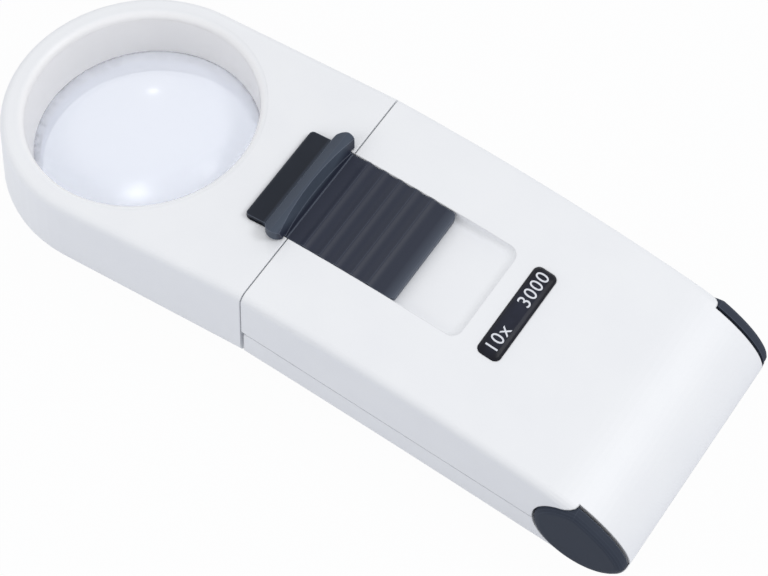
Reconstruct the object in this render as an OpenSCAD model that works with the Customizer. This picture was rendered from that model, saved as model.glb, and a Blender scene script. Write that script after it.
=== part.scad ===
// Illuminated pocket magnifier. A flat arched body stands on the head's end and
// on the tail. The lens sits deep in the round head, a thumb slider bridges the
// seam to the handle, and the underside of the handle is the battery door.
// Build frame: x = 0 at the seam, +x to the tail, z = 0 on top of the seam.
// place() then sets the part down on its two resting lines.

/* [Body] */
// Room beside the outer batteries
side_room = 4.35; // [4.35:0.05:6]
// Width of the head's rim round the lens
rim_w = 3.2; // [3:0.1:4.5]
// Length of the neck between the head's circle and the seam
neck_len = 10.8; // [10.8:0.1:14]
// Batteries to the tail
tail_room = 10.3; // [10.3:0.1:16]
// Body thickness at the seam
seam_t = 16; // [15.8:0.1:18]
// Slope of the head's top, in degrees
head_slope = 5.8; // [4.5:0.1:6.5]
// Slope of the head's underside, in degrees
head_base_slope = 3.8; // [3:0.1:4.5]
// Radius of the arch along the handle's top
top_arc_r = 270; // [260:5:320]
// Slope of the handle's underside at the seam, in degrees
handle_base_slope = 3.8; // [3.2:0.1:4.2]
// Radius of the long curve under the handle
base_arc_r = 1200; // [1000:50:1600]
// Length of the elliptical nose at the tail
nose_len = 13.7; // [13:0.1:15]
// Wall of the mouldings
wall = 1.6; // [1.4:0.1:1.8]
// Rounding of the upper long edges
top_edge_r = 1.4; // [1:0.1:1.5]
// Rounding of the lower long edges
base_edge_r = 2.4; // [1.8:0.1:2.6]
// Gap that shows between head and handle
seam_gap = 0.2; // [0.15:0.01:0.3]
// Gap round the battery door
door_gap = 0.14; // [0.1:0.01:0.2]

/* [Lens] */
// Diameter of the lens
lens_d = 36.4; // [35:0.1:37]
// Width of the ledge over the lens edge
ledge_w = 0.75; // [0.6:0.05:1.2]
// Rounding of the well's mouth
mouth_r = 1.2; // [0.4:0.1:1.3]
// Depth of the lens edge under the head's top
lens_depth = 8.55; // [8:0.05:9]
// Rise of the upper face over the edge
front_sag = 7.6; // [6:0.1:8]
// Drop of the lower face under the edge
rear_sag = 4.3; // [3:0.1:4.6]
// Thickness of the lens edge
lens_edge_t = 1.2; // [1:0.1:1.6]
// Height of the ring that holds the lens
ring_h = 2.4; // [2:0.1:2.6]

/* [Slider] */
// Width of the slider
slider_w = 17.4; // [15:0.1:17.6]
// Length of the ribbed part
rib_len = 17.9; // [16:0.1:19]
// Number of ribs
rib_count = 5; // [4:1:6]
// Seam to the first rib
rib_start = 2.6; // [2:0.1:3.5]
// Spacing of the ribs
rib_pitch = 2.73; // [2.5:0.01:2.8]
// Height of a rib
rib_h = 0.45; // [0.3:0.05:0.6]
// Length of the tongue over the head
tongue_len = 7.6; // [7:0.1:8]
// Height of the tongue above the head
tongue_rise = 0.8; // [0.5:0.1:1.2]
// Width of the thumb bar
bar_w = 20.6; // [19:0.1:22]
// Thickness of the thumb bar
bar_t = 3.6; // [3:0.1:4]
// Height of the thumb bar above the seam
bar_rise = 2; // [1.5:0.1:2.6]
// Sag of the scoop in the thumb bar
scoop_sag = 1.15; // [0.4:0.05:1.3]
// Length of the recess behind the seam
recess_len = 29.7; // [29:0.1:31]
// Space beside the slider in the recess
recess_side = 0.15; // [0.15:0.05:0.6]
// Rounding of the recess along its floor
recess_r = 0.9; // [0.5:0.1:1]
// Run of the recess's sloping wall at the tail
recess_ramp = 1.6; // [1:0.1:1.8]
// Depth of the recess at the seam
recess_d = 2; // [1.9:0.05:2.2]
// Wall under the recess
deck_t = 1.1; // [0.9:0.05:1.2]
// Sliding clearance
slide_gap = 0.1; // [0.08:0.01:0.15]

/* [Batteries and door] */
// Battery diameter
cell_d = 10.5; // [10:0.1:10.6]
// Battery length
cell_len = 44.5; // [43.5:0.1:44.6]
// Number of batteries
cell_count = 3; // [3:1:3]
// Space between the batteries
cell_gap = 0.9; // [0.8:0.05:1.2]
// Seam to the battery contacts
cell_x = 10.2; // [10.1:0.05:10.4]
// Height of the parting line under the seam's top
parting_z = 9.3; // [9:0.1:9.6]
// Slope of the parting line, in degrees
parting_slope = 5.4; // [5:0.1:5.8]
// Radius of the door's hinge edge
hinge_r = 1.3; // [1.2:0.05:1.4]
// Diameter of the hinge pin
pin_d = 1.2; // [1:0.05:1.3]

/* [Side buttons] */
// Half length of the side button
button_r = 7.6; // [7:0.05:8]
// Half height of the side button where it lies on the flat side
button_half_h = 6.6; // [6.2:0.1:7]
// Tail to the button's centre
button_tail = 7.5; // [7.3:0.1:8]
// Height of the button above the side
button_rise = 0.5; // [0.3:0.05:1]
// Thickness of the button's plate
button_t = 1.8; // [1.6:0.05:2.2]
// Rounding of the button's rim
button_rim_r = 1.2; // [0.6:0.1:1.3]
// Travel of the button
button_travel = 0.45; // [0.35:0.05:0.5]
// Diameter of the button's stem
stem_d = 3; // [2.8:0.1:3.2]

/* [Rating strip] */
// Seam to the middle of the strip
strip_x = 33.6; // [33.5:0.1:36]
// Length of the strip across the handle
strip_len = 17; // [14:0.5:20]
// Width of the strip
strip_w = 3.7; // [3:0.1:4.2]
// Height of the strip above the handle
strip_rise = 0.45; // [0.3:0.05:0.6]

/* [Contacts, screws and light] */
// Thickness of a battery contact
contact_t = 0.4; // [0.3:0.05:0.5]
// Width of a front contact
contact_w = 8; // [7:0.1:9]
// Height of a front contact
contact_h = 7.2; // [6.5:0.1:7.6]
// Width of a rear contact
rear_contact_w = 6; // [5.5:0.1:6.4]
// Height of a rear contact
rear_contact_h = 6.8; // [6.4:0.1:7]
// Diameter of a battery's button end
cell_tip_d = 3.8; // [3.6:0.1:4]
// Height of a battery's button end
cell_tip_h = 1; // [0.8:0.1:1.2]
// Diameter of a battery's flat end
cell_flat_d = 7.6; // [7:0.1:8]
// Width of a contact track
track_w = 1.8; // [1.6:0.1:2]
// Thickness of a contact track
track_t = 0.2; // [0.1:0.05:0.25]
// Distance of the tracks from the middle
track_y = 2.4; // [2.2:0.1:2.6]
// Head of a board screw
board_screw_head = 3; // [2.8:0.1:3.2]
// Shank of a board screw
board_screw_d = 1.5; // [1.4:0.05:1.55]
// Length of a board screw under its head
board_screw_len = 3; // [2.8:0.1:3.2]
// Head of a head screw
head_screw_head = 3.4; // [3:0.1:3.6]
// Shank of a head screw
head_screw_d = 1.7; // [1.6:0.05:1.75]
// Length of a head screw under its head
head_screw_len = 8; // [7:0.1:9]
// Width of the light's board
led_board_w = 10; // [9:0.1:11]
// Depth of the light's board
led_board_l = 4; // [3.6:0.1:4.4]
// Thickness of the light's board
led_board_t = 0.8; // [0.6:0.1:1]
// Diameter of the light's pins
lead_d = 0.7; // [0.6:0.05:0.75]

/* [Hidden] */

white = [0.93, 0.93, 0.95];
slate = [0.2, 0.22, 0.26];
metal = [0.78, 0.78, 0.76];
eps = 0.01;
big = 200;
// Outline of the body round the lens, the batteries and the tail
cell_pitch = cell_d + cell_gap;
body_w = (cell_count - 1) * cell_pitch + cell_d + 2 * side_room;
half_w = body_w / 2;
head_r = lens_d / 2 + rim_w;
head_x = head_r + neck_len;
handle_len = cell_x + cell_len + tail_room;
clear_d = lens_d - 2 * ledge_w;
// Free space kept around pieces that move or are slipped in
free = 0.15;

// Curve of the top and of the underside along x
base_cx = -base_arc_r * sin(handle_base_slope);
base_cz = -seam_t - base_arc_r * cos(handle_base_slope);
function top_z(x) = x < 0 ? x * tan(head_slope) : sqrt(top_arc_r ^ 2 - x ^ 2) - top_arc_r;
function base_z(x) = x < 0
    ? -seam_t + x * tan(head_base_slope)
    : base_cz + sqrt(base_arc_r ^ 2 - (x - base_cx) ^ 2);
function parting_at(x) = -parting_z - x * tan(parting_slope);

// Nose in side view: a half ellipse between the two curves, drawn in by inset
nose_x = handle_len - nose_len;
function nose_point(t, inset = 0) =
    let (x = nose_x + (nose_len - inset) * cos(t))
    let (mid = (top_z(x) + base_z(x)) / 2)
    let (half = (top_z(x) - base_z(x)) / 2 - inset)
    [x, mid + half * sin(t)];
nose_steps = 36;
nose_skip = 4;
function nose_curve(inset = 0) = [for (k = [0 : nose_steps])
    nose_point(90 - nose_skip - k * (180 - 2 * nose_skip) / nose_steps, inset)];

// The body stands on the head's lower edge and on the lowest point of the nose
function tilted(p, a) = [p[0] * cos(a) - p[1] * sin(a), p[0] * sin(a) + p[1] * cos(a)];
head_foot_x = -head_x - (head_r - base_edge_r) * cos(head_base_slope);
head_foot = [head_foot_x, base_z(-head_x) - (head_r - base_edge_r) * sin(head_base_slope)];
tail_low = min([for (p = nose_curve()) p[1]]);
tail_foot = [for (p = nose_curve()) if (p[1] == tail_low) p][0];
rest_tilt = atan((head_foot[1] - tail_low) / (tail_foot[0] - head_foot[0]));
rest_drop = min(tilted(head_foot, rest_tilt)[1], min([for (p = nose_curve()) tilted(p, rest_tilt)[1]]));
x_mid = (handle_len - head_x - head_r) / 2 + seam_t * sin(rest_tilt) / 2;

// Slider: the recess floor is level when the part stands
recess_w = slider_w + 2 * recess_side;
// Left free at the recess's sloping wall, so the slider stops short of it
slide_spare = 0.8;
slide_travel = recess_len - rib_len - recess_ramp - slide_spare;
rib_high = recess_d - 0.2;
rib_low = 1.5;
rib_soft = 0.15;
slider_edge = 0.45;
slider_corner = 0.8;
recess_corner = 1.8;
peg_l = 2.5;
peg_w = 3.6;
peg_x = -5.3;
plate_l = 4.2;
plate_t = 0.8;
plate_z = -deck_t - free - plate_t;
bar_back = -0.2;
bar_front = bar_back - bar_t;
scoop_lean = 14;
scoop_r = ((bar_w / 2) ^ 2 + scoop_sag ^ 2) / (2 * scoop_sag);
slot_end = peg_x + peg_l / 2 + slide_travel + 0.4;

// Circuit board under the deck
board_x0 = -9.6;
board_x1 = 8.6;
board_w = 28;
board_t = 1;
board_z = -4.2;
board_screw_x = 4.6;
board_screw_y = board_w / 2 - 2.5;
bridge_l = 3.6;
bridge_t = 0.25;
finger_w = 1.4;

// Battery bay
bay_wall = 0.9;
rib_wall = 0.7;
cell_axis_z = base_z(cell_x) + wall + cell_d / 2 + 0.35;
cell_slope = parting_slope;
function cell_y(i) = (i - (cell_count - 1) / 2) * cell_pitch;
spring_wire = 0.4;
spring_r = 2.6;
spring_len = 3;
spring_turns = 3;
rear_contact_x = cell_len + spring_len + 0.1;
rear_wall_half = cell_pitch * (cell_count - 1) / 2 + rear_contact_w / 2;

// Door hinge at the lower front edge
door_x = 0.5;
hinge_x = door_x + hinge_r;
hinge_z = base_z(hinge_x) + hinge_r;
door_front_r = (parting_at(hinge_x) - door_gap / 2 - hinge_z) * cos(parting_slope);
lug_y0 = 7;
lug_y1 = 10;
pin_len = 27;

// Screws that hold the head to the handle
head_screw_y = half_w - 3.8;
head_screw_z = -5.6;
flange_y = head_screw_y - 2.2;

// Side buttons
button_x = handle_len - button_tail;
button_z = (top_z(button_x) + base_z(button_x)) / 2 + 0.75;
button_gap = 0.08;
button_out = half_w + button_rise;
pocket_y = button_out - button_t - button_travel - button_gap;
cheek_t = 2.1;
cup_d = 5.6;
cup_depth = 1.4;
groove_depth = 1;
button_spring_r = 2.15;
button_wire = 0.3;
neck_d = 1.8;
lug_t = 0.8;
lug_grip = button_travel - 0.05;
neck_y = pocket_y - cheek_t - 0.2;
lug_out_y = neck_y - button_travel - 0.05;
lug_in_y = lug_out_y - lug_t;
stem_end = lug_in_y - 0.4;

// Depth that the rating strip sits in its pocket
strip_seat = 0.4;

// Lens and light
lens_gap = 0.08;
well_top_r = clear_d / 2 + 0.32;
ring_w = 1.6;
window_l = 6;
window_w = 14;
window_t = 1.2;
window_x = -9.6;
led_x = -9.4;
led_tilt = 30;
led_l = 2.8;
led_w = 3.2;
led_t = 0.8;
lead_y = led_board_w / 2 - 1;
lead_len = 4.2;

// Sets the part on its resting lines, with the origin under its middle
module place() {
    translate([-x_mid, 0, -rest_drop]) rotate([0, -rest_tilt, 0]) children();
}
// Frame of the slider: z = 0 on the recess floor
module on_slide() {
    translate([0, 0, -recess_d]) rotate([0, rest_tilt, 0]) children();
}
// Frame of the lens: z = 0 on the head's top plane
module on_lens() {
    translate([0, 0, top_z(-head_x)]) translate([-head_x, 0, 0]) rotate([0, -head_slope, 0]) children();
}
// Turns an (x, z) outline into a solid that spans y from y0 to y1
module across(y0, y1) {
    translate([0, y1, 0]) rotate([90, 0, 0]) linear_extrude(y1 - y0) children();
}
module both_sides() {
    children();
    mirror([0, 1, 0]) children();
}
module box(x0, x1, y0, y1, z0, z1) {
    translate([x0, y0, z0]) cube([x1 - x0, y1 - y0, z1 - z0]);
}
module rounded(l, w, r) {
    square([l - 2 * r, w], center = true);
    square([l, w - 2 * r], center = true);
    for (sx = [-1, 1], sy = [-1, 1])
        translate([sx * (l / 2 - r), sy * (w / 2 - r)]) circle(r, $fn = 32);
}
// Rounds the two corners of a strip that lie at its far side
module edge_section(depth, w, r) {
    translate([0, -w / 2]) square([depth - r, w]);
    translate([0, -w / 2 + r]) square([depth, w - 2 * r]);
    for (s = [-1, 1]) translate([depth - r, s * (w / 2 - r)]) circle(r, $fn = 40);
}

// Handle mouldings
module top_sweep(inset = 0, r = top_edge_r) {
    fan = asin(handle_len / top_arc_r) + 1;
    depth = 40;
    translate([0, 0, -top_arc_r]) rotate([90, 0, 0]) rotate([0, 0, 90 - fan])
        rotate_extrude(angle = fan + 1, $fn = 720)
            translate([top_arc_r - inset - depth, 0]) edge_section(depth, body_w - 2 * inset, r);
}
module base_sweep(inset = 0, r = base_edge_r) {
    fan = asin((handle_len - base_cx) / base_arc_r) + 1;
    depth = 40;
    translate([base_cx, 0, base_cz]) rotate([90, 0, 0]) rotate([0, 0, 90 - fan])
        rotate_extrude(angle = fan - handle_base_slope + 1, $fn = 1440)
            translate([base_arc_r + inset + depth, 0]) mirror([1, 0])
                edge_section(depth, body_w - 2 * inset, r);
}
module side_outline(inset = 0, x0 = 0) {
    polygon(concat([[x0, 10], [nose_x, 10]], nose_curve(inset), [[nose_x, -40], [x0, -40]]));
}
// Nose with its edges rounded like the handle's upper edges
module nose_form() {
    x0 = nose_x - 12;
    hull() for (a = [0 : 22.5 : 90]) {
        inset = top_edge_r * (1 - cos(a));
        y = half_w + 2 * eps - top_edge_r * (1 - sin(a));
        across(-y, y) polygon(concat([[x0, top_z(x0) + 0.6 - inset]], nose_curve(inset),
            [[x0, base_z(x0) - 0.8 + inset]]));
    }
}
module handle_block(x0) {
    intersection() {
        top_sweep();
        base_sweep();
        union() {
            box(x0, nose_x, -big / 2, big / 2, -big / 2, 10);
            nose_form();
        }
    }
}
module handle_hollow(x0) {
    intersection() {
        top_sweep(wall, 0.3);
        base_sweep(wall, 0.3);
        across(-big, big) side_outline(wall, x0);
    }
}
module below_parting(shift = 0) {
    translate([0, 0, -parting_z + shift]) rotate([0, parting_slope, 0])
        box(-big / 2, big, -big / 2, big / 2, -big / 2, 0);
}
// Space of the recess, with a round edge along its floor
module slide_recess() {
    length = recess_len + 10;
    on_slide() translate([recess_len - length / 2, 0, 0]) hull() {
        for (a = [0 : 22.5 : 90]) {
            inset = 2 * recess_r * (1 - sin(a));
            z = recess_r * (1 - cos(a));
            ramp = recess_ramp * (1 - z / recess_d);
            translate([-ramp / 2, 0, z]) linear_extrude(eps)
                rounded(length - inset - ramp, recess_w - inset, recess_corner - inset / 2);
        }
        translate([0, 0, recess_d]) linear_extrude(8) rounded(length, recess_w, recess_corner);
    }
}
module slide_slot(x0, x1) {
    on_slide() box(x0, x1, -peg_w / 2 - 0.2, peg_w / 2 + 0.2, -8, 1);
}
module on_button() {
    translate([button_x, 0, button_z]) rotate([-90, 0, 0]) children();
}
module button_outline(grow = 0) {
    intersection() {
        polygon([for (a = [0 : 5 : 359]) [button_x + (button_r + grow) * cos(a),
            button_z + (button_half_h + grow) * sin(a)]]);
        polygon(concat([[0, 10], [nose_x, 10]], nose_curve(-grow), [[nose_x, -40], [0, -40]]));
    }
}
module on_row() {
    translate([cell_x, 0, cell_axis_z]) rotate([0, cell_slope, 0]) children();
}
module on_cell(i) {
    on_row() translate([0, cell_y(i), 0]) children();
}
module cell_column(i, r, x0, x1) {
    on_cell(i) translate([x0, 0, 0]) rotate([0, 90, 0]) cylinder(r = r, h = x1 - x0, $fn = 64);
}

module handle_shell() {
    color(white) difference() {
        union() {
            difference() {
                handle_block(seam_gap / 2);
                below_parting(door_gap / 2);
                difference() {
                    handle_hollow(seam_gap / 2 - 1);
                    // Deck under the recess
                    on_slide() box(-5, recess_len + 1.2, -big, big, -deck_t, 20);
                    // Flange that the head is screwed to
                    both_sides() box(0, wall, flange_y, big, -30, 5);
                    // Bosses for the board screws
                    for (s = [-1, 1]) on_slide() translate([board_screw_x, s * board_screw_y, board_z])
                        cylinder(d = board_screw_head + 1.4, h = 5, $fn = 32);
                    // Walls before, between and behind the batteries
                    on_row() {
                        box(-contact_t - bay_wall, -contact_t, -big, big, -30, 15);
                        for (i = [0 : cell_count]) translate([0, cell_y(i) - cell_pitch / 2, 0])
                            box(-1, cell_len, -rib_wall / 2, rib_wall / 2, -30, 15);
                        translate([rear_contact_x + contact_t, 0, 0]) box(0, bay_wall,
                            -rear_wall_half, rear_wall_half, -30, 15);
                    }
                }
            }
            // Cheeks behind the side buttons
            both_sides() intersection() {
                across(pocket_y - cheek_t, pocket_y) button_outline(-0.5);
                across(0, big) side_outline(0.45, button_x - button_r - 10);
            }
        }
        slide_recess();
        slide_slot(-1, slot_end);
        both_sides() {
            // Pocket, spring cup and bore of each button
            across(pocket_y, big) button_outline(0.15);
            on_button() {
                translate([0, 0, stem_end - button_travel - free])
                    cylinder(d = stem_d + 0.1, h = 20, $fn = 48);
                translate([0, 0, pocket_y - cup_depth]) cylinder(d = cup_d, h = 10, $fn = 48);
            }
            // Holes for the head screws and the board screws
            translate([-1, head_screw_y, head_screw_z]) rotate([0, 90, 0])
                cylinder(d = head_screw_d + 0.5, h = 5, $fn = 32);
            on_slide() translate([board_screw_x, board_screw_y, board_z - 1])
                cylinder(d = board_screw_d + 0.1, h = board_screw_len + 0.4, $fn = 32);
        }
        // Pocket of the rating strip
        translate([strip_x, 0, top_z(strip_x)]) rotate([0, asin(strip_x / top_arc_r), 0])
            translate([0, 0, -strip_seat]) linear_extrude(5) rounded(strip_w + 0.1, strip_len + 0.1, 1.05);
        for (i = [0 : cell_count - 1]) cell_column(i, cell_d / 2 + 0.15, 0, cell_len);
    }
}

module battery_door() {
    color(white) difference() {
        union() {
            difference() {
                intersection() {
                    handle_block(door_x);
                    below_parting(-door_gap / 2);
                }
                handle_hollow(door_x + wall);
            }
            // Round hinge edge
            intersection() {
                translate([hinge_x, 0, hinge_z]) rotate([90, 0, 0])
                    cylinder(r = hinge_r, h = body_w - 8, center = true, $fn = 48);
                box(0, 10, -big, big, -30, 0);
            }
            // Posts that the buttons hold
            both_sides() intersection() {
                box(button_x - 2.5, button_x + 2.5, lug_in_y, lug_out_y, -30, button_z + 2.4);
                across(0, big) side_outline(0.4, 0);
            }
        }
        // Front edge rounded about the hinge
        difference() {
            box(-1, hinge_x, -big, big, -30, hinge_z);
            translate([hinge_x, 0, hinge_z]) rotate([90, 0, 0])
                cylinder(r = hinge_r, h = big, center = true, $fn = 48);
        }
        difference() {
            box(-1, hinge_x, -big, big, hinge_z, 0);
            translate([hinge_x, 0, hinge_z]) rotate([90, 0, 0])
                cylinder(r = door_front_r, h = big, center = true, $fn = 96);
        }
        both_sides() {
            // Gaps for the head's hinge lugs
            box(-1, hinge_x + hinge_r + 0.35, lug_y0 - free, lug_y1 + free, -30, hinge_z + hinge_r + 0.3);
            // Room for the buttons, and the open holes in the posts
            across(pocket_y - cheek_t - 0.3, big) button_outline(0.15);
            on_button() {
                cylinder(d = stem_d + 0.3, h = lug_in_y + lug_grip, $fn = 48);
                cylinder(d = neck_d + 0.4, h = 18, $fn = 48);
            }
            box(button_x - neck_d / 2 - 0.2, button_x + neck_d / 2 + 0.2, 10, 18, button_z, 0);
        }
        translate([hinge_x, 0, hinge_z]) rotate([90, 0, 0])
            cylinder(d = pin_d + 0.1, h = pin_len + 1, center = true, $fn = 32);
    }
}

// Head moulding
module head_block() {
    hull() {
        on_lens() translate([0, 0, -top_edge_r]) rotate_extrude($fn = 64)
            translate([head_r - top_edge_r, 0]) circle(top_edge_r, $fn = 24);
        translate([-head_x, 0, base_z(-head_x)]) rotate([0, -head_base_slope, 0])
            translate([0, 0, base_edge_r]) rotate_extrude($fn = 64)
                translate([head_r - base_edge_r, 0]) circle(base_edge_r, $fn = 24);
        translate([-0.4, 0, 0]) rotate([90, 0, 90]) linear_extrude(0.4) seam_section();
    }
}
module seam_section() {
    for (s = [-1, 1]) {
        translate([s * (half_w - top_edge_r), -top_edge_r]) circle(top_edge_r, $fn = 24);
        translate([s * (half_w - base_edge_r), -seam_t + base_edge_r]) circle(base_edge_r, $fn = 24);
    }
}
module head_shell() {
    color(white) difference() {
        union() {
            intersection() {
                head_block();
                box(-big, -seam_gap / 2, -big, big, -50, 10);
            }
            // Hinge lugs of the battery door
            both_sides() difference() {
                union() {
                    box(-2, hinge_x, lug_y0, lug_y1, hinge_z - hinge_r + 0.1, hinge_z + hinge_r - 0.1);
                    translate([hinge_x, (lug_y0 + lug_y1) / 2, hinge_z]) rotate([90, 0, 0])
                        cylinder(r = hinge_r - 0.1, h = lug_y1 - lug_y0, center = true, $fn = 48);
                }
                translate([hinge_x, 0, hinge_z]) rotate([90, 0, 0])
                    cylinder(d = pin_d + 0.1, h = big, center = true, $fn = 32);
            }
        }
        // Lens well, its rounded mouth and the bore for lens and ring
        on_lens() {
            translate([0, 0, -lens_depth])
                cylinder(r1 = clear_d / 2, r2 = well_top_r, h = lens_depth, $fn = 128);
            translate([0, 0, -eps]) cylinder(r = well_top_r, h = 5, $fn = 128);
            rotate_extrude($fn = 128) translate([well_top_r, 0]) difference() {
                translate([-0.5, -mouth_r]) square([mouth_r + 0.5, mouth_r + 1]);
                translate([mouth_r, -mouth_r]) circle(mouth_r, $fn = 48);
            }
            translate([0, 0, -40]) cylinder(d = lens_d + 2 * lens_gap, h = 40 - lens_depth, $fn = 128);
        }
        // Room for the light, open to the handle
        difference() {
            intersection() {
                on_slide() box(-20, 5, -15, 15, -30, -deck_t);
                translate([0, 0, -seam_t + wall]) rotate([0, -head_base_slope, 0])
                    box(-40, 5, -15, 15, 0, 30);
            }
            on_lens() translate([0, 0, -40]) cylinder(r = lens_d / 2 + 1.5, h = 50, $fn = 128);
        }
        // Groove of the slider's tongue and the slot for its peg
        on_slide() translate([-tongue_len / 2 + 2.5, 0, 0])
            linear_extrude(10) rounded(tongue_len + 5.3, slider_w + 2 * slide_gap + 0.1, 1.3);
        slide_slot(peg_x - peg_l / 2 - 0.3, 1);
        // Stepped hole for the light window
        translate([window_x, 0, base_z(window_x)]) rotate([0, -head_base_slope, 0]) {
            linear_extrude(10, center = true) rounded(window_l - 1.2, window_w - 1.2, 1);
            translate([0, 0, 0.5]) linear_extrude(5) rounded(window_l + 0.1, window_w + 0.1, 1.5);
        }
        both_sides() translate([wall - head_screw_len - 1, head_screw_y, head_screw_z]) rotate([0, 90, 0])
            cylinder(d = head_screw_d + 0.1, h = head_screw_len + 2, $fn = 32);
    }
}

// Optics and light
front_r = clear_d / 2 - 0.04;
rear_r = lens_d / 2 - ring_w - 0.1;
function ball_r(r, sag) = (r ^ 2 + sag ^ 2) / (2 * sag);
module lens() {
    // Two spherical faces and a flat edge that the ledge and the ring hold
    color([0.86, 0.9, 0.97, 0.5]) on_lens() translate([0, 0, -lens_depth]) {
        intersection() {
            cylinder(r = front_r, h = 20, $fn = 96);
            translate([0, 0, front_sag - ball_r(front_r, front_sag)])
                sphere(r = ball_r(front_r, front_sag), $fn = 128);
        }
        translate([0, 0, -lens_edge_t]) cylinder(d = lens_d, h = lens_edge_t, $fn = 96);
        translate([0, 0, -lens_edge_t]) intersection() {
            translate([0, 0, -20]) cylinder(r = rear_r, h = 20 + eps, $fn = 96);
            translate([0, 0, ball_r(rear_r, rear_sag) - rear_sag])
                sphere(r = ball_r(rear_r, rear_sag), $fn = 128);
        }
    }
}
module lens_ring() {
    color(white) on_lens() translate([0, 0, -lens_depth - lens_edge_t - ring_h]) difference() {
        cylinder(d = lens_d, h = ring_h, $fn = 128);
        translate([0, 0, -1]) cylinder(d = lens_d - 2 * ring_w, h = ring_h + 2, $fn = 128);
        for (a = [0 : 90 : 270]) rotate([0, 0, a + 45])
            translate([lens_d / 2 - 0.7, -1, -1]) cube([2, 2, 1.8]);
    }
}
module light_window() {
    color([0.9, 0.93, 0.95, 0.5]) translate([window_x, 0, base_z(window_x)])
        rotate([0, -head_base_slope, 0]) {
            translate([0, 0, 0.5]) linear_extrude(window_t) rounded(window_l, window_w, 1.45);
            translate([0, 0, 0.1]) linear_extrude(0.5) rounded(window_l - 1.4, window_w - 1.4, 0.9);
        }
}
module on_led() {
    translate([led_x, 0, base_z(led_x) + 4.6]) rotate([0, led_tilt, 0]) children();
}
module led_board() {
    color([0.9, 0.92, 0.9]) on_led() difference() {
        translate([-led_board_l / 2, -led_board_w / 2, 0]) cube([led_board_l, led_board_w, led_board_t]);
        for (s = [-1, 1]) translate([0, s * lead_y, -1]) cylinder(d = lead_d + 0.1, h = 3, $fn = 24);
    }
}
module led() {
    color([0.95, 0.9, 0.7]) on_led() translate([0, 0, -led_t]) {
        translate([-led_l / 2, -led_w / 2, 0]) cube([led_l, led_w, led_t]);
        intersection() {
            translate([0, 0, 0.5]) sphere(d = led_l, $fn = 48);
            translate([-led_l, -led_l, -2]) cube([2 * led_l, 2 * led_l, 2]);
        }
    }
}
module led_leads() {
    // Two pins from the light's board straight up to the circuit board
    color(metal) for (s = [-1, 1]) on_led() translate([0, s * lead_y, -0.5])
        cylinder(d = lead_d, h = lead_len, $fn = 24);
}

// Switch and circuit board
module circuit_board() {
    color([0.12, 0.4, 0.25]) on_slide() difference() {
        box(board_x0, board_x1, -board_w / 2, board_w / 2, board_z - board_t, board_z);
        for (s = [-1, 1]) translate([board_screw_x, s * board_screw_y, board_z - 2 * board_t])
            cylinder(d = board_screw_d + 0.3, h = 3 * board_t, $fn = 32);
    }
}
module contact_tracks() {
    color([0.85, 0.7, 0.3]) on_slide() for (s = [-1, 1])
        translate([0, s * track_y, board_z])
            box(board_x0 + 1, board_x1 - 1, -track_w / 2, track_w / 2, 0, track_t);
}
module contact_bridge() {
    foot = board_z + track_t + 0.05 - plate_z;
    color([0.8, 0.55, 0.3]) on_slide() {
        translate([peg_x, 0, plate_z]) {
            box(-bridge_l / 2, bridge_l / 2, -track_y - finger_w, track_y + finger_w, -bridge_t, 0);
            for (s = [-1, 1]) translate([0, s * track_y, 0]) across(-finger_w / 2, finger_w / 2) polygon([
                [-bridge_l / 2, -0.2], [-bridge_l / 2, -0.5], [-0.2, foot], [0.2, foot],
                [bridge_l / 2, -0.5], [bridge_l / 2, -0.2], [bridge_l / 2 - 0.3, -0.2], [0, foot + 0.3],
                [0.3 - bridge_l / 2, -0.2]]);
        }
    }
}
// Cross slot cut into a screw's head, upwards from its floor
module cross_slot(l) {
    for (a = [0, 90]) rotate([0, 0, a]) translate([-l / 2, -0.2, 0]) cube([l, 0.4, 1]);
}
module board_screws() {
    color(metal) for (s = [-1, 1]) on_slide()
        translate([board_screw_x, s * board_screw_y, board_z - board_t]) difference() {
            union() {
                translate([0, 0, -1]) cylinder(d = board_screw_head, h = 1, $fn = 32);
                translate([0, 0, -eps]) cylinder(d = board_screw_d, h = board_screw_len, $fn = 32);
            }
            translate([0, 0, -0.5]) mirror([0, 0, 1]) cross_slot(0.6 * board_screw_head);
        }
}
module head_screws() {
    color(metal) both_sides() translate([wall, head_screw_y, head_screw_z]) rotate([0, 90, 0])
        difference() {
            union() {
                cylinder(d = head_screw_head, h = 1.3, $fn = 32);
                translate([0, 0, -head_screw_len])
                    cylinder(d = head_screw_d, h = head_screw_len + eps, $fn = 32);
            }
            translate([0, 0, 0.7]) cross_slot(0.6 * head_screw_head);
        }
}

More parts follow.
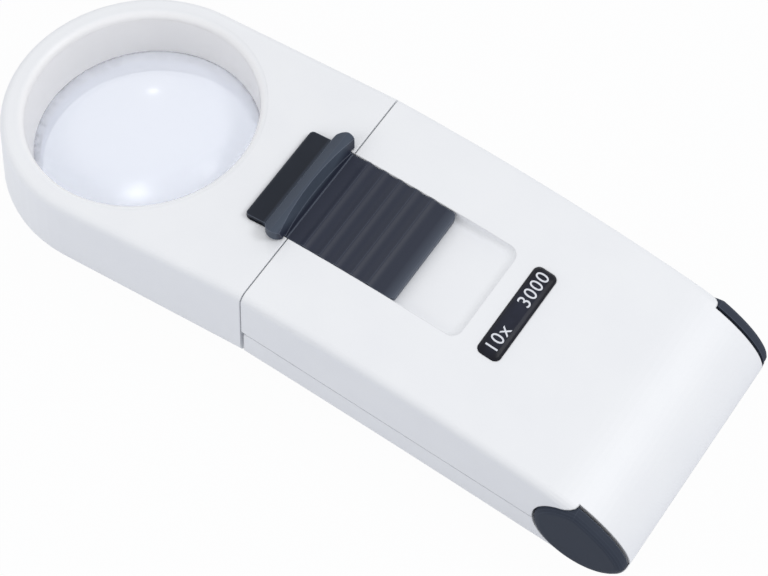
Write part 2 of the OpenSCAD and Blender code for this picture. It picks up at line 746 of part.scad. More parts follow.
// Slider with its tongue, thumb bar and ribs
function rib_top(x) = rib_high + (rib_low - rib_high) * x / rib_len;
function rib_wave(x) = sqrt(sin(180 * (x - rib_start) / rib_pitch) ^ 2 + rib_soft ^ 2) - rib_soft;
function tongue_top(x) = recess_d + top_z(x) + tongue_rise;
module slider() {
    step = rib_pitch / 14;
    first = rib_start - rib_pitch / 2;
    last = first + rib_count * rib_pitch;
    ribs = [for (x = [first : step : last + eps]) [x, rib_top(x) + rib_h * (1 - rib_soft - rib_wave(x))]];
    color(slate) on_slide() difference() {
        union() {
            // Ribbed plate and tongue
            intersection() {
                across(-big, big) polygon(concat(
                    [[-tongue_len, slide_gap], [-tongue_len, tongue_top(-tongue_len) - 0.3],
                     [-tongue_len + 0.1, tongue_top(-tongue_len) - 0.1],
                     [-tongue_len + 0.3, tongue_top(-tongue_len)], [bar_back, tongue_top(bar_back)],
                     [bar_back, rib_top(bar_back)]],
                    ribs,
                    [[rib_len - 0.5, rib_top(rib_len - 0.5)], [rib_len - 0.15, rib_low - 0.08],
                     [rib_len, rib_low - 0.25], [rib_len, slide_gap + 0.15],
                     [rib_len - slider_edge, slide_gap]]));
                slider_plan();
            }
            // Thumb bar, its ends clear of the mouldings
            intersection() {
                across(-big, big) polygon([
                    [bar_front, recess_d + 0.3], [bar_front, recess_d + bar_rise - 0.9],
                    [bar_front + 0.2, recess_d + bar_rise - 0.6], [bar_front + 1.6, recess_d + bar_rise],
                    [bar_back - 0.3, recess_d + bar_rise], [bar_back, recess_d + bar_rise - 0.3],
                    [bar_back, recess_d + 0.3]]);
                translate([bar_back - bar_t / 2, 0, 0])
                    linear_extrude(10) rounded(bar_t, bar_w, bar_t / 2 - eps);
            }
            box(bar_front, bar_back, -slider_w / 2, slider_w / 2, 1, recess_d + 0.3);
            box(peg_x - peg_l / 2, peg_x + peg_l / 2, -peg_w / 2, peg_w / 2, plate_z, 1);
        }
        // Scoop for the thumb on the tail side of the bar
        translate([bar_back, 0, rib_high + 0.2]) rotate([0, -scoop_lean, 0])
            translate([scoop_r - scoop_sag, 0, 0]) cylinder(r = scoop_r, h = 6, $fn = 360);
    }
}
// Plan of the slider, its lower edges bevelled to clear the recess
module slider_plan() {
    length = rib_len + tongue_len;
    translate([(rib_len - tongue_len) / 2, 0, 0]) hull() {
        linear_extrude(slide_gap) rounded(length, slider_w - 2 * slider_edge, slider_corner);
        translate([0, 0, slide_gap + slider_edge])
            linear_extrude(10) rounded(length, slider_w, slider_corner);
    }
}
module slider_plate() {
    color(slate) on_slide() difference() {
        box(peg_x - plate_l / 2, peg_x + plate_l / 2, -4.4, 4.4, plate_z, plate_z + plate_t);
        box(peg_x - peg_l / 2 - 0.03, peg_x + peg_l / 2 + 0.03, -peg_w / 2 - 0.03, peg_w / 2 + 0.03,
            plate_z - 1, plate_z + plate_t + 1);
    }
}

module rating_strip() {
    color([0.06, 0.06, 0.07]) translate([strip_x, 0, top_z(strip_x)])
        rotate([0, asin(strip_x / top_arc_r), 0]) hull() {
            translate([0, 0, -strip_seat]) linear_extrude(strip_seat + 0.1) rounded(strip_w, strip_len, 1);
            translate([0, 0, strip_rise - 0.13]) linear_extrude(0.01)
                rounded(strip_w - 0.7, strip_len - 0.7, 0.7);
            translate([0, 0, strip_rise - 0.05]) linear_extrude(0.05)
                rounded(strip_w - 1.7, strip_len - 1.7, 0.5);
        }
}
module hinge_pin() {
    color(metal) translate([hinge_x, 0, hinge_z]) rotate([90, 0, 0])
        cylinder(d = pin_d, h = pin_len, center = true, $fn = 32);
}

// Batteries and their contacts
module battery(i) {
    color([0.55, 0.57, 0.6]) on_cell(i) rotate([0, 90, 0]) {
        translate([0, 0, cell_tip_h]) cylinder(d = cell_d, h = cell_len - cell_tip_h - 0.1, $fn = 64);
        cylinder(d = cell_tip_d, h = cell_tip_h + eps, $fn = 32);
        translate([0, 0, cell_len - 0.2]) cylinder(d = cell_flat_d, h = 0.2, $fn = 48);
    }
}
module front_contacts() {
    color(metal) for (i = [0 : cell_count - 1]) on_cell(i)
        box(0.02 - contact_t, -0.03, -contact_w / 2, contact_w / 2, -contact_h / 2, contact_h / 2);
}
module rear_contacts() {
    color(metal) for (i = [0 : cell_count - 1]) on_cell(i)
        box(rear_contact_x, rear_contact_x + contact_t - 0.02, -rear_contact_w / 2, rear_contact_w / 2,
            -rear_contact_h / 2, rear_contact_h / 2);
}
// One unbroken wire: a helix swept with six sides
function helix_point(k, r, pitch, per) = [pitch * k / per, r * cos(360 * k / per), r * sin(360 * k / per)];
function helix_gap(r, wire, pitch, turns, per = 8) =
    min([for (k = [0 : turns * per], j = [k + per / 2 : turns * per])
        norm(helix_point(k, r, pitch, per) - helix_point(j, r, pitch, per))]) - wire;
module helix(r, wire, pitch, turns, per = 8, sides = 6) {
    n = turns * per;
    points = [for (k = [0 : n], j = [0 : sides - 1])
        let (a = 360 * k / per)
        let (b = 360 * j / sides)
        let (out = r + wire / 2 * cos(b))
        [pitch * k / per + wire / 2 * sin(b), out * cos(a), out * sin(a)]];
    walls = [for (k = [0 : n - 1], j = [0 : sides - 1])
        let (p = k * sides + j)
        let (q = k * sides + (j + 1) % sides)
        each [[p, q, q + sides], [p, q + sides, p + sides]]];
    caps = [for (j = [1 : sides - 2]) each [[0, j + 1, j], [n * sides, n * sides + j, n * sides + j + 1]]];
    polyhedron(points, concat(walls, caps));
}
spring_pitch = (spring_len - spring_wire) / spring_turns;
echo(str("Least gap of a contact spring to itself: ",
    helix_gap(spring_r, spring_wire, spring_pitch, spring_turns), " mm"));
echo(str("Least gap of a button spring to itself: ",
    helix_gap(button_spring_r, button_wire, button_pitch, spring_turns), " mm"));
module contact_springs() {
    color(metal) for (i = [0 : cell_count - 1]) on_cell(i)
        translate([cell_len + 0.05 + spring_wire / 2, 0, 0])
            helix(spring_r, spring_wire, spring_pitch, spring_turns);
}

// Side buttons and their springs
button_seat = pocket_y - cup_depth + 0.05;
button_top = button_out - button_t + groove_depth - 0.05;
button_pitch = (button_top - button_seat - button_wire) / spring_turns;
module release_button() {
    inner = button_out - button_t;
    color(slate) difference() {
        union() {
            hull() {
                across(inner, inner + 0.2) button_outline();
                for (a = [0 : 22.5 : 90]) translate([0, button_out - button_rim_r * (1 - sin(a)) - 0.05, 0])
                    across(-0.05, 0.05) button_outline(-button_rim_r * (1 - cos(a)));
            }
            on_button() {
                translate([0, 0, neck_y]) cylinder(d = stem_d, h = inner - neck_y + eps, $fn = 48);
                translate([0, 0, lug_in_y]) cylinder(d = neck_d, h = neck_y - lug_in_y + eps, $fn = 32);
                translate([0, 0, stem_end])
                    cylinder(d = stem_d, h = lug_in_y + lug_grip - 0.05 - stem_end, $fn = 48);
            }
        }
        on_button() translate([0, 0, inner - 1]) difference() {
            cylinder(d = cup_d, h = 1 + groove_depth, $fn = 48);
            translate([0, 0, -1]) cylinder(d = stem_d, h = 5, $fn = 48);
        }
    }
}
module release_button_left() { release_button(); }
module release_button_right() { mirror([0, 1, 0]) release_button(); }
module button_spring(s) {
    color(metal) translate([button_x, 0, button_z]) rotate([0, 0, 90 * s])
        translate([button_seat + button_wire / 2, 0, 0])
            helix(button_spring_r, button_wire, button_pitch, spring_turns);
}
module button_spring_left() { button_spring(1); }
module button_spring_right() { button_spring(-1); }

place() head_shell();
place() handle_shell();
place() lens();
place() lens_ring();
place() light_window();
place() led_board();
place() led();
place() led_leads();
place() circuit_board();
place() contact_tracks();
place() board_screws();
place() head_screws();
place() rating_strip();
place() hinge_pin();
place() battery(0);  // battery_1
place() battery(1);  // battery_2
place() battery(2);  // battery_3
place() front_contacts();
place() rear_contacts();
place() contact_springs();
place() slider();
place() slider_plate();
place() contact_bridge();
place() battery_door();
place() release_button_left();
place() release_button_right();
place() button_spring_left();
place() button_spring_right();
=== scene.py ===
import math

import bpy
import bmesh
from mathutils import Matrix, Vector


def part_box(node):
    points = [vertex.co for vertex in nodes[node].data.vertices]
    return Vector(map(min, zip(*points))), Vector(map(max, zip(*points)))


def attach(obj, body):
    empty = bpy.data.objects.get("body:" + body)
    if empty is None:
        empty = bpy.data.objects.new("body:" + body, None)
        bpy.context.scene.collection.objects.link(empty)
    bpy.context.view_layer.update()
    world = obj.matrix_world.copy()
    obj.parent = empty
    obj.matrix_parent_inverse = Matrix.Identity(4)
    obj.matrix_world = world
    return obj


for leftover in ("Cube", "Camera", "Light"):       # what a new Blender file starts with
    if leftover in bpy.data.objects:
        bpy.data.objects.remove(bpy.data.objects[leftover])

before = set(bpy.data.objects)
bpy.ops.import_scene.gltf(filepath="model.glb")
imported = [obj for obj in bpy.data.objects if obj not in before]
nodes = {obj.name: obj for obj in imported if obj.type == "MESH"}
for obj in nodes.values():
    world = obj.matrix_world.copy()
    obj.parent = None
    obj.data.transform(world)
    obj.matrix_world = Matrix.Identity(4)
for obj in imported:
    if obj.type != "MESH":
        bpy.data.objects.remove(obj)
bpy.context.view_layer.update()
print("frame loaded:", len(nodes), "nodes")


def srgb(r, g, b):
    # A colour picked on a screen, 0 to 255, as the linear values that shaders use
    def linear(c):
        c = c / 255
        return c / 12.92 if c <= 0.04045 else ((c + 0.055) / 1.055) ** 2.4
    return (linear(r), linear(g), linear(b), 1.0)


class Field:
    # A value that varies over a surface; arithmetic on it adds Math nodes
    def __init__(self, network, socket):
        self.network = network
        self.socket = socket

    def maths(self, operation, first, second=None):
        values = {i: v for i, v in enumerate((first, second)) if v is not None}
        return self.network.node("ShaderNodeMath", values, operation=operation)

    def __add__(self, other):
        return self.maths("ADD", self, other)

    def __radd__(self, other):
        return self.maths("ADD", other, self)

    def __sub__(self, other):
        return self.maths("SUBTRACT", self, other)

    def __rsub__(self, other):
        return self.maths("SUBTRACT", other, self)

    def __mul__(self, other):
        return self.maths("MULTIPLY", self, other)

    def __rmul__(self, other):
        return self.maths("MULTIPLY", other, self)

    def __truediv__(self, other):
        return self.maths("DIVIDE", self, other)

    def __rtruediv__(self, other):
        return self.maths("DIVIDE", other, self)

    def __pow__(self, other):
        return self.maths("POWER", self, other)

    def __rpow__(self, other):
        return self.maths("POWER", other, self)

    def atLeast(self, other):
        return self.maths("MAXIMUM", self, other)

    def clamp(self):
        return self.maths("MINIMUM", self.atLeast(0.0), 1.0)

    def spread(self, middle, width):
        # Noise from 0 to 1 becomes a value about middle, width wide in all
        return middle + (self - 0.5) * width


class Network:
    # The nodes of a material or of the world
    def __init__(self, tree):
        self.tree = tree

    def node(self, kind, values=None, out=0, ramp=None, **settings):
        # Settings and a ramp's stops come first, then the values or links of the sockets
        made = self.tree.nodes.new(kind)
        for key, value in settings.items():
            setattr(made, key, value)
        if ramp:
            made.color_ramp.interpolation = ramp["between"]
            stops = made.color_ramp.elements
            while len(stops) < len(ramp["stops"]):
                stops.new(0.5)
            for stop, (position, colour) in zip(stops, ramp["stops"]):
                stop.position = position
                stop.color = colour
        for key, value in (values or {}).items():
            self.feed(made.inputs[key], value)
        return Field(self, made.outputs[out])

    def feed(self, socket, value):
        if isinstance(value, Field):
            self.tree.links.new(value.socket, socket)
        else:
            socket.default_value = value

    def mixShaders(self, factor, first, second):
        return self.node("ShaderNodeMixShader", {0: factor, 1: first, 2: second})

    def rays(self, *kinds):
        # 1 for the named kinds of ray, such as Camera or Shadow, and 0 for all others
        path = self.node("ShaderNodeLightPath").socket.node
        first, *others = [Field(self, path.outputs["Is " + kind + " Ray"]) for kind in kinds]
        for other in others:
            first = first.atLeast(other)
        return first


class Finish(Network):
    # A material with one Principled shader, and the nodes that feed it
    def __init__(self, name):
        self.material = bpy.data.materials.new(name)
        self.material.use_nodes = True
        super().__init__(self.material.node_tree)
        self.shader = self.tree.nodes["Principled BSDF"]
        self.output = self.tree.nodes["Material Output"]
        self.place = self.node("ShaderNodeTexCoord", out="Object")

    def set(self, **values):
        for key, value in values.items():
            self.feed(self.shader.inputs[key.replace("_", " ")], value)

    def surface(self):
        return Field(self, self.shader.outputs[0])

    def show(self, surface):
        self.feed(self.output.inputs["Surface"], surface)

    def noise(self, size, detail=3.0, roughness=0.5):
        # size is the width of one blotch, in millimetres
        values = {"Vector": self.place, "Scale": 1000 / size, "Detail": detail, "Roughness": roughness}
        return self.node("ShaderNodeTexNoise", values)

    def mix(self, factor, first, second):
        return self.node("ShaderNodeMix", {0: factor, 6: first, 7: second}, out=2, data_type="RGBA")

    def along(self, node):
        # 0 at the node's end towards the head, 1 at its end towards the tail
        low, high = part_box(node)
        x = self.node("ShaderNodeSeparateXYZ", {0: self.place}, out="X")
        return (x - low.x) / (high.x - low.x)

    def onFlat(self, node):
        # Distances from the middle of the node's widest top face, in metres: along the part, then across
        middle, axis = widestFlat(node)
        turn = Vector((0, 0, 1)).rotation_difference(axis).to_euler()
        values = {"Vector": self.place, "Location": middle, "Rotation": turn}
        local = self.node("ShaderNodeMapping", values, vector_type="TEXTURE")
        split = self.node("ShaderNodeSeparateXYZ", {0: local}, out="X").socket.node
        return [Field(self, split.outputs[letter]) for letter in ("X", "Y")]

    def edges(self, width, gain=12.0):
        # 1 along sharp edges, hollow and standing alike, over width in millimetres, where paler paint stands
        # partly for rubbing and partly for a painted highlight; 0 on flats
        rounded = self.node("ShaderNodeBevel", {"Radius": width / 1000}, samples=8)
        flat = self.node("ShaderNodeNewGeometry", out="Normal")
        alike = self.node("ShaderNodeVectorMath", {0: rounded, 1: flat}, out="Value", operation="DOT_PRODUCT")
        return ((1.0 - alike) * gain).clamp()

    def lightPasses(self, surface, share=0.97):
        # Light shines straight through, so what lies behind the piece isn't left in the dark
        through = self.node("ShaderNodeBsdfTransparent", {"Color": (share, share, share, 1.0)})
        self.show(self.mixShaders(self.rays("Shadow", "Diffuse"), surface, through))

    def bump(self, height, depth, softEdge=0.0):
        # depth in millimetres; softEdge rounds the look of sharp edges by that many millimetres
        values = {"Height": height, "Distance": depth / 1000, "Strength": 1.0}
        if softEdge:
            values["Normal"] = self.node("ShaderNodeBevel", {"Radius": softEdge / 1000}, samples=6)
        self.set(Normal=self.node("ShaderNodeBump", values))


# How level a face that looks up has to be, and how alike two faces of one flat are, in decimal places
flatSearch = {"leastUp": 0.9, "normalPlaces": 3, "heightPlaces": 5}


def widestFlat(node):
    # Middle and outward direction of the widest level face that looks up
    groups = {}
    for face in nodes[node].data.polygons:
        if face.normal.z > flatSearch["leastUp"]:
            height = round(face.center.dot(face.normal), flatSearch["heightPlaces"])
            key = tuple(round(c, flatSearch["normalPlaces"]) for c in face.normal) + (height,)
            groups.setdefault(key, []).append(face)
    flat = max(groups.values(), key=lambda faces: sum(f.area for f in faces))
    area = sum(f.area for f in flat)
    return sum((f.center * f.area for f in flat), Vector()) / area, flat[0].normal.copy()


# In the dictionaries of the finishes, the widths of noise, depths and soft edges are in millimetres.
# Radii and half lengths are in metres, as in the mesh.

# The moulding greys in random blotches; the hollow round the lens, out to wellRadius, is painted paler, as
# painted light for the light bounced about inside it
whiteLook = {
    "top": srgb(238, 240, 244), "blotch": srgb(234, 236, 241), "blotchSize": 9,
    "blotchFrom": 0.35, "blotchGain": 1.4,
    "paintedWellLight": srgb(252, 252, 254), "wellRadius": 0.0178, "wellBlend": 0.0009,
    "grain": 0.16, "grainDepth": 0.003, "gloss": 0.4, "glossSpread": 0.16, "softEdge": 0.25,
}


def whiteMoulding(name, look=whiteLook, well=False):
    finish = Finish(name)
    cloud = finish.noise(look["blotchSize"], detail=2)
    grain = finish.noise(look["grain"], detail=4, roughness=0.6)
    blotches = (cloud - look["blotchFrom"]).clamp() * look["blotchGain"]
    colour = finish.mix(blotches, look["top"], look["blotch"])
    if well:
        x, y = finish.onFlat("lens")
        # Painted light: inside wellRadius the paler colour stands in for bounced light
        outside = (((x * x + y * y) ** 0.5 - look["wellRadius"]) / look["wellBlend"]).clamp()
        colour = finish.mix(outside, look["paintedWellLight"], colour)
    finish.set(Base_Color=colour, Roughness=grain.spread(look["gloss"], look["glossSpread"]))
    finish.bump(grain, look["grainDepth"], look["softEdge"])
    return finish.material


darkLook = {
    "face": srgb(44, 49, 63), "rubbed": srgb(52, 57, 71), "rubSize": 5,
    "rubFrom": 0.45, "rubGain": 1.2, "rubGrain": 0.5,
    # The paler colour below is painted on sharp edges: partly rubbing, partly a painted highlight
    "paintedSheen": srgb(108, 116, 132), "edgeWearAndSheenWidth": 0.2, "edgeWearAndSheenShare": 0.6,
    "grain": 0.12, "grainDepth": 0.005, "gloss": 0.4, "glossSpread": 0.15, "sheen": 0.23, "softEdge": 0.18,
}
padLook = {
    **darkLook, "face": srgb(56, 62, 74), "rubbed": srgb(63, 69, 81),
    "gloss": 0.6, "sheen": 0.08, "softEdge": 0.3,
}
# Painted light and shade along the slider, from the tongue to the plate's end: painted shade darkens the
# tongue, and painted highlights make the bar and the plate's end paler
sliderPaintedShading = {
    "node": "slider", "rubShare": 0.3, "between": "LINEAR",
    "stops": [
        (0.12, srgb(18, 25, 37)), (0.135, srgb(54, 62, 76)), (0.25, srgb(70, 79, 93)),
        (0.27, srgb(38, 43, 59)), (0.6, srgb(41, 46, 61)), (0.93, srgb(45, 50, 64)), (1.0, srgb(74, 81, 94)),
    ],
}


def darkMoulding(name, look=darkLook, paintedShading=None):
    finish = Finish(name)
    cloud = finish.noise(look["rubSize"], detail=3)
    grain = finish.noise(look["grain"], detail=4, roughness=0.65)
    patch = grain.spread((cloud - look["rubFrom"]) * look["rubGain"], look["rubGrain"]).clamp()
    face = look["face"]
    if paintedShading:
        # Painted light and shade: a ramp along the slider replaces the plain face colour
        face = finish.node("ShaderNodeValToRGB", {0: finish.along(paintedShading["node"])}, ramp=paintedShading)
        patch = patch * paintedShading["rubShare"]
    colour = finish.mix(patch, face, look["rubbed"])
    # Sharp edges painted paler: partly rubbing, partly a painted highlight along ribs and edges
    colour = finish.mix(finish.edges(look["edgeWearAndSheenWidth"]) * look["edgeWearAndSheenShare"], colour, look["paintedSheen"])
    finish.set(Base_Color=colour, Roughness=cloud.spread(look["gloss"], look["glossSpread"]))
    finish.set(Specular_IOR_Level=look["sheen"])
    finish.bump(grain, look["grainDepth"], look["softEdge"])
    return finish.material


# A thick clear lens with a faint bloom on its outer faces, thinner at the rim by rimClears.
# A bare share of the light isn't bent but goes straight through: more of it at the ground rim and on
# the way out of the glass, less again by bareLess at the rim's left, where the bore's wall would show.
lensLook = {
    "tint": srgb(244, 246, 255), "ior": 1.49, "radius": 0.0182,
    "smear": 14, "haze": 0.08, "smearHaze": 0.08, "insideHaze": 0.1,
    "bloom": srgb(236, 239, 249), "bloomGloss": 0.3,
    "bloomShare": 0.42, "bloomSpread": 0.08, "rimClears": 0.35,
    "through": srgb(244, 247, 253), "bareMiddle": 0.4, "bareRim": 0.85, "bareInside": 0.85, "bareLess": 0.6,
}


def clearLens(name, node, look=lensLook):
    finish = Finish(name)
    smear = finish.noise(look["smear"], detail=2)
    inside = finish.node("ShaderNodeNewGeometry", out="Backfacing")
    haze = look["haze"] + smear * look["smearHaze"] + inside * look["insideHaze"]
    finish.set(Base_Color=look["tint"], Roughness=haze)
    finish.set(Transmission_Weight=1.0, IOR=look["ior"])
    x, y = finish.onFlat(node)
    rim = ((x * x + y * y) / look["radius"] ** 2).clamp()
    left = (y / look["radius"]).clamp()
    bare = look["bareMiddle"] + rim * (look["bareRim"] - look["bareMiddle"]) - left * rim * look["bareLess"]
    bare = bare.atLeast(inside * look["bareInside"])
    clear = finish.node("ShaderNodeBsdfTransparent", {"Color": look["through"]})
    values = {"Base Color": look["bloom"], "Roughness": look["bloomGloss"], "IOR": look["ior"]}
    bloom = finish.node("ShaderNodeBsdfPrincipled", values)
    optics = finish.mixShaders(bare, finish.surface(), clear)
    veil = (1.0 - inside) * smear.spread(look["bloomShare"], look["bloomSpread"])
    finish.lightPasses(finish.mixShaders(veil * (1.0 - rim * look["rimClears"]), optics, bloom))
    return finish.material


windowLook = {
    "tint": srgb(244, 246, 248), "clear": 0.85, "ior": 1.49,
    "frost": 0.3, "frostDepth": 0.01, "haze": 0.35, "frostHaze": 0.2,
}


def frostedWindow(name, look=windowLook):
    finish = Finish(name)
    frost = finish.noise(look["frost"])
    finish.set(Base_Color=look["tint"], Roughness=look["haze"] + frost * look["frostHaze"])
    finish.set(Transmission_Weight=look["clear"], IOR=look["ior"])
    finish.bump(frost, look["frostDepth"])
    finish.lightPasses(finish.surface())
    return finish.material


# A domed glossy label: its crown is a soft swell in the normal, and it is painted paler in patches where it
# stands highest, as a painted reflection
stripLook = {
    "deep": srgb(14, 16, 27), "paintedSheen": srgb(40, 44, 60), "paintedSheenGain": 0.7, "paintedSheenFrom": 0.1, "paintedSheenCloud": 0.35,
    "halfAcross": 0.00185, "halfAlong": 0.0085, "dome": 0.035, "ripple": 1.2, "rippleShare": 0.1,
    "cloud": 2, "gloss": 0.24, "cloudGloss": 0.14, "sheen": 0.2, "softEdge": 0.12,
}


def glossBlack(name, node, look=stripLook):
    finish = Finish(name)
    cloud = finish.noise(look["cloud"])
    x, y = finish.onFlat(node)
    crown = 1.0 - (x / look["halfAcross"]) ** 2 - (y / look["halfAlong"]) ** 2
    # Painted reflection: paler towards the crown, in patches
    paintedSheen = ((crown * look["paintedSheenGain"] + look["paintedSheenFrom"]).clamp() * (cloud + look["paintedSheenCloud"])).clamp()
    finish.set(Base_Color=finish.mix(paintedSheen, look["deep"], look["paintedSheen"]))
    finish.set(Roughness=look["gloss"] + cloud * look["cloudGloss"], Specular_IOR_Level=look["sheen"])
    ripple = finish.noise(look["ripple"], detail=2) * look["rippleShare"]
    finish.bump(crown + ripple, look["dome"], look["softEdge"])
    return finish.material


inkLook = {"thin": srgb(206, 210, 220), "full": srgb(232, 235, 242), "patch": 0.5, "gloss": 0.45}


def printedInk(name, look=inkLook):
    finish = Finish(name)
    patch = finish.noise(look["patch"], detail=2)
    finish.set(Base_Color=finish.mix(patch, look["thin"], look["full"]), Roughness=look["gloss"])
    return finish.material


metalLook = {"streak": 0.6, "stretch": 0.12, "streakDepth": 0.004, "glossSpread": 0.2, "softEdge": 0.08}
metals = {
    "brightSteel": {"light": srgb(214, 214, 216), "shade": srgb(178, 180, 184), "gloss": 0.28},
    "nickelStrip": {"light": srgb(206, 204, 196), "shade": srgb(170, 168, 160), "gloss": 0.34},
    "goldTrack": {"light": srgb(222, 184, 112), "shade": srgb(196, 154, 84), "gloss": 0.3},
}


def plainMetal(name):
    look = {**metalLook, **metals[name]}
    finish = Finish(name)
    drawn = finish.node("ShaderNodeMapping", {"Vector": finish.place, "Scale": (1.0, look["stretch"], 1.0)})
    values = {"Vector": drawn, "Scale": 1000 / look["streak"], "Detail": 3.0}
    lines = finish.node("ShaderNodeTexNoise", values)
    finish.set(Base_Color=finish.mix(lines, look["shade"], look["light"]), Metallic=1.0)
    finish.set(Roughness=lines.spread(look["gloss"], look["glossSpread"]))
    finish.bump(lines, look["streakDepth"], look["softEdge"])
    return finish.material


boardLook = {
    "mask": srgb(22, 92, 58), "maskLight": srgb(26, 100, 62), "weaveLine": srgb(18, 76, 48),
    "weaveScale": 900.0, "lineWidth": 0.03,
    "cloud": 2, "gloss": 0.32, "cloudGloss": 0.12, "grain": 0.4, "grainDepth": 0.006,
}


def boardGreen(name, look=boardLook):
    finish = Finish(name)
    weave = finish.node("ShaderNodeTexBrick", {
        "Vector": finish.place, "Scale": look["weaveScale"], "Mortar Size": look["lineWidth"],
        "Color1": look["mask"], "Color2": look["maskLight"], "Mortar": look["weaveLine"]})
    finish.set(Base_Color=weave, Roughness=look["gloss"] + finish.noise(look["cloud"]) * look["cloudGloss"])
    finish.bump(finish.noise(look["grain"]), look["grainDepth"])
    return finish.material


ledLook = {
    "deep": srgb(238, 214, 120), "pale": srgb(250, 236, 170),
    "cloud": 0.8, "gloss": 0.3, "cloudGloss": 0.1,
}


def ledPhosphor(name, look=ledLook):
    finish = Finish(name)
    cloud = finish.noise(look["cloud"])
    finish.set(Base_Color=finish.mix(cloud, look["deep"], look["pale"]))
    finish.set(Roughness=look["gloss"] + cloud * look["cloudGloss"])
    return finish.material


# A plain wrap with a band at the terminal's end; the places of its colours are shares of the cell's length
wrapLook = {
    "body": srgb(178, 184, 188), "band": srgb(92, 106, 116), "rim": srgb(206, 208, 210),
    "bandFrom": 0.035, "bandShare": 0.2, "rimFrom": 0.985,
    "cloud": 3, "gloss": 0.3, "cloudGloss": 0.12, "metallic": 0.35, "ripple": 1.5, "rippleDepth": 0.01,
}


def batteryWrap(name, node, look=wrapLook):
    finish = Finish(name)
    bandTo = look["bandFrom"] + look["bandShare"]
    wrap = {"between": "CONSTANT", "stops": [
        (0.0, look["rim"]), (look["bandFrom"], look["band"]), (bandTo, look["body"]),
        (look["rimFrom"], look["rim"])]}
    bands = finish.node("ShaderNodeValToRGB", {0: finish.along(node)}, ramp=wrap)
    finish.set(Base_Color=bands, Metallic=look["metallic"])
    finish.set(Roughness=look["gloss"] + finish.noise(look["cloud"]) * look["cloudGloss"])
    finish.bump(finish.noise(look["ripple"]), look["rippleDepth"])
    return finish.material


def dress(material, *names):
    for name in names:
        slots = nodes[name].data.materials
        slots.clear()
        slots.append(material)


dress(whiteMoulding("whiteMoulding"), "handle_shell", "battery_door")
dress(whiteMoulding("whiteMouldingPaintedWellLight", well=True), "head_shell", "lens_ring")
dress(darkMoulding("slateMoulding", paintedShading=sliderPaintedShading), "slider")
dress(darkMoulding("slateMouldingInside"), "slider_plate")
dress(darkMoulding("padMoulding", padLook), "release_button_left", "release_button_right")
dress(clearLens("clearLens", "lens"), "lens")
dress(frostedWindow("frostedWindow"), "light_window")
dress(glossBlack("glossBlack", "rating_strip"), "rating_strip")
dress(boardGreen("boardGreen"), "circuit_board", "led_board")
dress(ledPhosphor("ledPhosphor"), "led")
dress(plainMetal("goldTrack"), "contact_tracks", "contact_bridge", "led_leads")
dress(plainMetal("nickelStrip"), "front_contacts", "rear_contacts", "contact_springs")
dress(plainMetal("brightSteel"), "board_screws", "head_screws", "hinge_pin", "button_spring_left",
      "button_spring_right")
for cell in ("battery_1", "battery_2", "battery_3"):
    dress(batteryWrap(cell + "Wrap", cell), cell)
print("finishes laid on")


# Plain numbers across the strip; capShare is the height of a capital at text size 1
marks = {"words": "10x    3000", "capHeight": 0.00212, "capShare": 0.72, "spacing": 1.12, "thick": 0.00003}


def stripMarks():
    middle, up = widestFlat("rating_strip")
    curve = bpy.data.curves.new("stripMarks", "FONT")
    curve.body = marks["words"]
    curve.size = marks["capHeight"] / marks["capShare"]
    curve.space_character = marks["spacing"]
    curve.align_x = "CENTER"
    curve.align_y = "CENTER"
    curve.extrude = marks["thick"] / 2
    text = bpy.data.objects.new("stripMarks", curve)
    bpy.context.scene.collection.objects.link(text)
    bpy.context.view_layer.update()
    mesh = bpy.data.meshes.new_from_object(text)
    bpy.data.objects.remove(text)
    right = Vector((0, 1, 0))              # reads across the handle, tops towards the head
    tall = up.cross(right)
    turn = Matrix((right, tall, up)).transposed().to_4x4()
    mesh.transform(Matrix.Translation(middle + up * marks["thick"] / 2) @ turn)
    mesh.materials.append(printedInk("printedInk"))
    piece = bpy.data.objects.new("stripMarks", mesh)
    bpy.context.scene.collection.objects.link(piece)
    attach(piece, "body")


stripMarks()
print("marks laid on the strip")


white = (1, 1, 1, 1)
studio = {"world": 0.72, "floor": srgb(198, 202, 212), "floorHalf": 3.0, "floorGloss": 0.9, "floorGlow": 0.97}
# Each lamp shines at the middle of the part, and only a mirrored one shows as a highlight
lamps = {
    "key": {"place": (0.6, 0.3, 0.75), "size": 0.38, "power": 2.6, "mirrored": True},
    "fill": {"place": (-0.15, -0.21, 0.13), "size": 0.15, "power": 0.11},
    "glint": {"place": (-0.585, 0.682, 0.505), "size": 0.1, "power": 0.3, "mirrored": True,
              "throughGlass": True},
}


def paleFloor():
    # Reads as white to the camera, in mirrors and through glass, but still takes the shadow
    bm = bmesh.new()
    bmesh.ops.create_grid(bm, x_segments=2, y_segments=2, size=studio["floorHalf"])
    mesh = bpy.data.meshes.new("floor")
    bm.to_mesh(mesh)
    bm.free()
    floor = bpy.data.objects.new("floor", mesh)
    bpy.context.scene.collection.objects.link(floor)
    finish = Finish("paleFloor")
    finish.set(Base_Color=studio["floor"], Roughness=studio["floorGloss"])
    glow = finish.node("ShaderNodeEmission", {"Strength": 1.0, "Color": white})
    seen = finish.rays("Camera", "Glossy", "Transmission")
    finish.show(finish.mixShaders(seen * studio["floorGlow"], finish.surface(), glow))
    mesh.materials.append(finish.material)


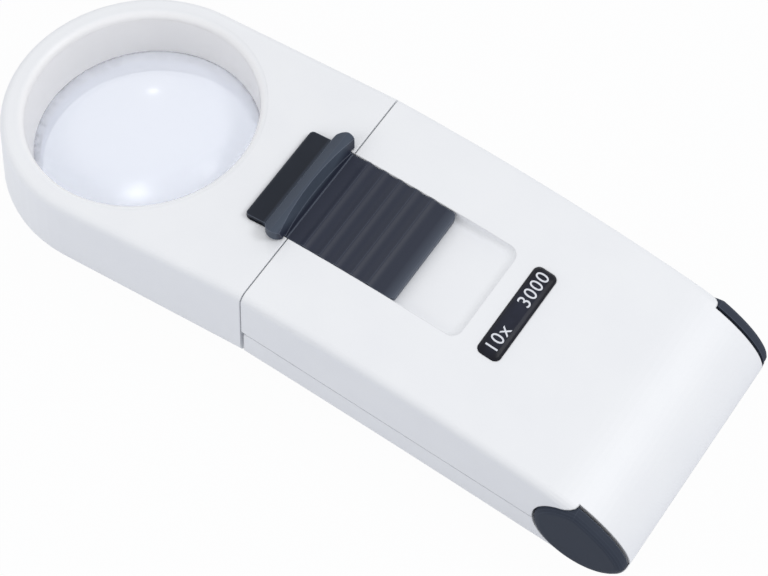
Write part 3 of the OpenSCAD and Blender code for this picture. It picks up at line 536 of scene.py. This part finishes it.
def whiteRoom():
    # Soft light from all round, which the camera sees as plain white
    world = bpy.data.worlds.new("whiteRoom")
    bpy.context.scene.world = world
    world.use_nodes = True
    room = Network(world.node_tree)
    sky = room.tree.nodes["Background"]
    room.feed(sky.inputs["Color"], white)
    room.feed(sky.inputs["Strength"], studio["world"])
    backdrop = room.node("ShaderNodeBackground", {"Strength": 1.0, "Color": white})
    seen = room.rays("Camera", "Glossy", "Transmission")
    both = room.mixShaders(seen, Field(room, sky.outputs[0]), backdrop)
    room.feed(room.tree.nodes["World Output"].inputs["Surface"], both)


def softbox(name, place, size, power, mirrored=False, throughGlass=False):
    light = bpy.data.lights.new(name, "AREA")
    light.shape = "DISK"
    light.size = size
    light.energy = power
    lamp = bpy.data.objects.new(name, light)
    bpy.context.scene.collection.objects.link(lamp)
    turn = Vector(place).to_track_quat("Z", "Y").to_matrix().to_4x4()
    lamp.matrix_world = Matrix.Translation(place) @ turn
    lamp.visible_camera = False
    lamp.visible_glossy = mirrored
    lamp.visible_transmission = throughGlass


paleFloor()
whiteRoom()
for name, settings in lamps.items():
    softbox(name, **settings)


# Found by fitting the part to the photograph: degrees and metres, with lens and sensor in millimetres
view = {"azimuth": 29.353, "elevation": 59.139, "roll": 4.155, "distance": 0.43745,
        "target": (0.00673, -0.00179, 0.00809), "lens": 139.08, "sensor": 36, "nearest": 0.01}


def photoCamera():
    azimuth, elevation, roll = (math.radians(view[key]) for key in ("azimuth", "elevation", "roll"))
    level = Vector((math.cos(azimuth), math.sin(azimuth), 0))
    towards = Vector((math.sin(azimuth), -math.cos(azimuth), 0))
    back = towards * math.cos(elevation) + Vector((0, 0, math.sin(elevation)))
    camera = bpy.data.objects.new("camera", bpy.data.cameras.new("camera"))
    bpy.context.scene.collection.objects.link(camera)
    camera.data.lens = view["lens"]
    camera.data.sensor_width = view["sensor"]
    camera.data.clip_start = view["nearest"]
    turn = Matrix((level, back.cross(level), back)).transposed().to_4x4()
    place = Matrix.Translation(Vector(view["target"]) + back * view["distance"])
    camera.matrix_world = place @ turn @ Matrix.Rotation(roll, 4, "Z")
    bpy.context.scene.camera = camera


photoCamera()
bpy.context.scene.view_settings.view_transform = "Standard"
print("studio and camera set")
